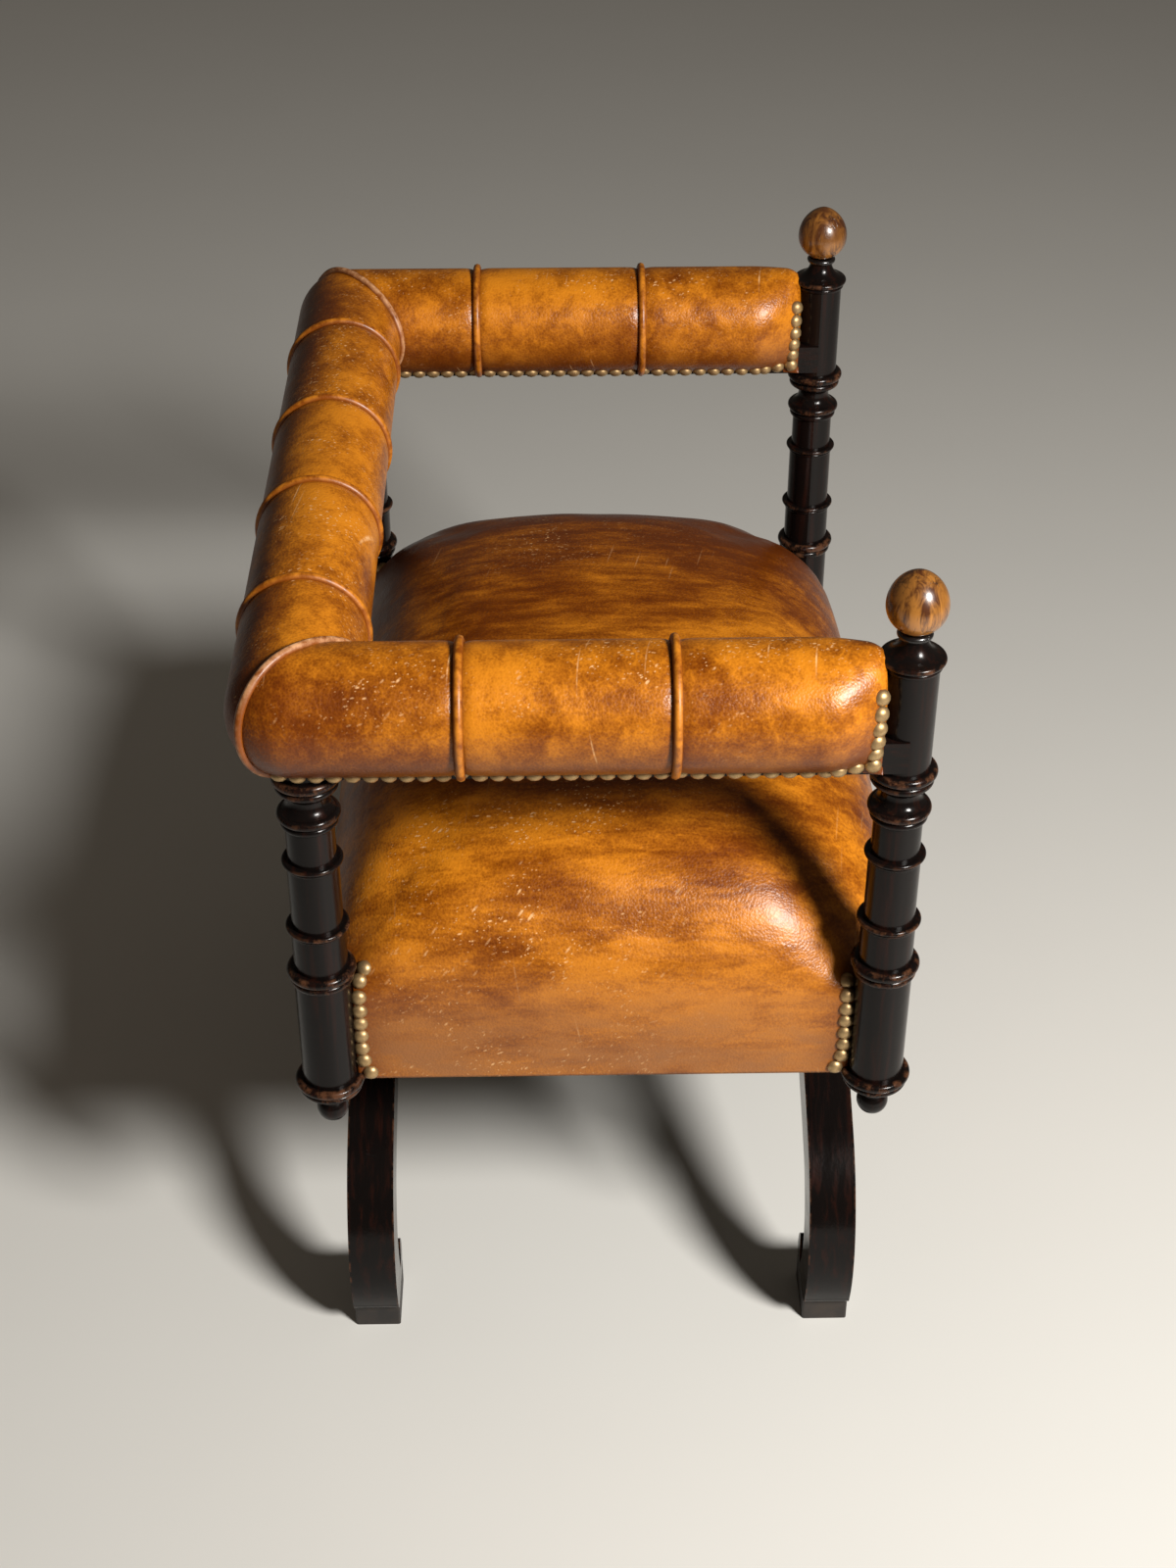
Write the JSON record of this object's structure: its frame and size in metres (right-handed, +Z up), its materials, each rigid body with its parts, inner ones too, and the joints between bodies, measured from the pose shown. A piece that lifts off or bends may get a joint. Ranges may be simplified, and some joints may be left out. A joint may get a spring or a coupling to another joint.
{
  "type": "ebonised stool",
  "caption": "Low ebonised stool with a sprung domed leather seat, a padded leather roll round the arms and back, ring-turned posts with egg finials and crossed scroll-footed legs.",
  "frame": {"origin": "on the floor, at the middle of the stool's outline box", "axes": "+Z is up, the open front of the roll faces -Y, left is -X as seen from the front"},
  "size_m": [0.708, 0.4784, 0.7045],
  "materials": {
    "ebonised_wood": "near-black satin polish, worn to red-brown on ring edges and leg edges",
    "finial_wood": "golden brown polished wood with dark streaks",
    "frame_wood": "plain sawn beech",
    "webbing": "jute webbing",
    "spring_steel": "plain spring wire",
    "canvas": "plain hessian",
    "stuffing": "curled hair",
    "tan_leather": "worn tan hide, mottled dark brown, scratched, with a satin shine",
    "piping_leather": "tan piping worn pale on top",
    "dust_cloth": "black cotton",
    "pad_wood": "dull dark wood",
    "screw_steel": "plain steel",
    "nail_brass": "antique brass upholstery nails with domed heads"
  },
  "bodies": {
    "root": {"front_left_post": "ebonised_wood", "front_right_post": "ebonised_wood", "back_left_post": "ebonised_wood", "back_right_post": "ebonised_wood", "front_left_finial": "finial_wood", "front_right_finial": "finial_wood", "front_seat_rail": "frame_wood", "back_seat_rail": "frame_wood", "left_seat_rail": "frame_wood", "right_seat_rail": "frame_wood", "front_left_corner_block": "frame_wood", "front_right_corner_block": "frame_wood", "back_left_corner_block": "frame_wood", "back_right_corner_block": "frame_wood", "crosswise_webbing": "webbing", "lengthwise_webbing": "webbing", "seat_springs": "spring_steel", "spring_canvas": "canvas", "seat_stuffing": "stuffing", "left_arm_stuffing": "stuffing", "right_arm_stuffing": "stuffing", "back_roll_stuffing": "stuffing", "seat_leather": "tan_leather", "left_arm_leather": "tan_leather", "right_arm_leather": "tan_leather", "back_roll_leather": "tan_leather", "bottom_cloth": "dust_cloth", "left_arm_rail": "ebonised_wood", "right_arm_rail": "ebonised_wood", "back_top_rail": "ebonised_wood", "left_arm_piping": "piping_leather", "right_arm_piping": "piping_leather", "back_roll_piping": "piping_leather", "left_mitre_piping": "piping_leather", "right_mitre_piping": "piping_leather", "front_left_leg": "ebonised_wood", "front_right_leg": "ebonised_wood", "back_left_leg": "ebonised_wood", "back_right_leg": "ebonised_wood", "front_left_foot_pad": "pad_wood", "front_right_foot_pad": "pad_wood", "back_left_foot_pad": "pad_wood", "back_right_foot_pad": "pad_wood", "stretcher": "ebonised_wood", "leg_screws": "screw_steel"}
  },
  "joints": []
}
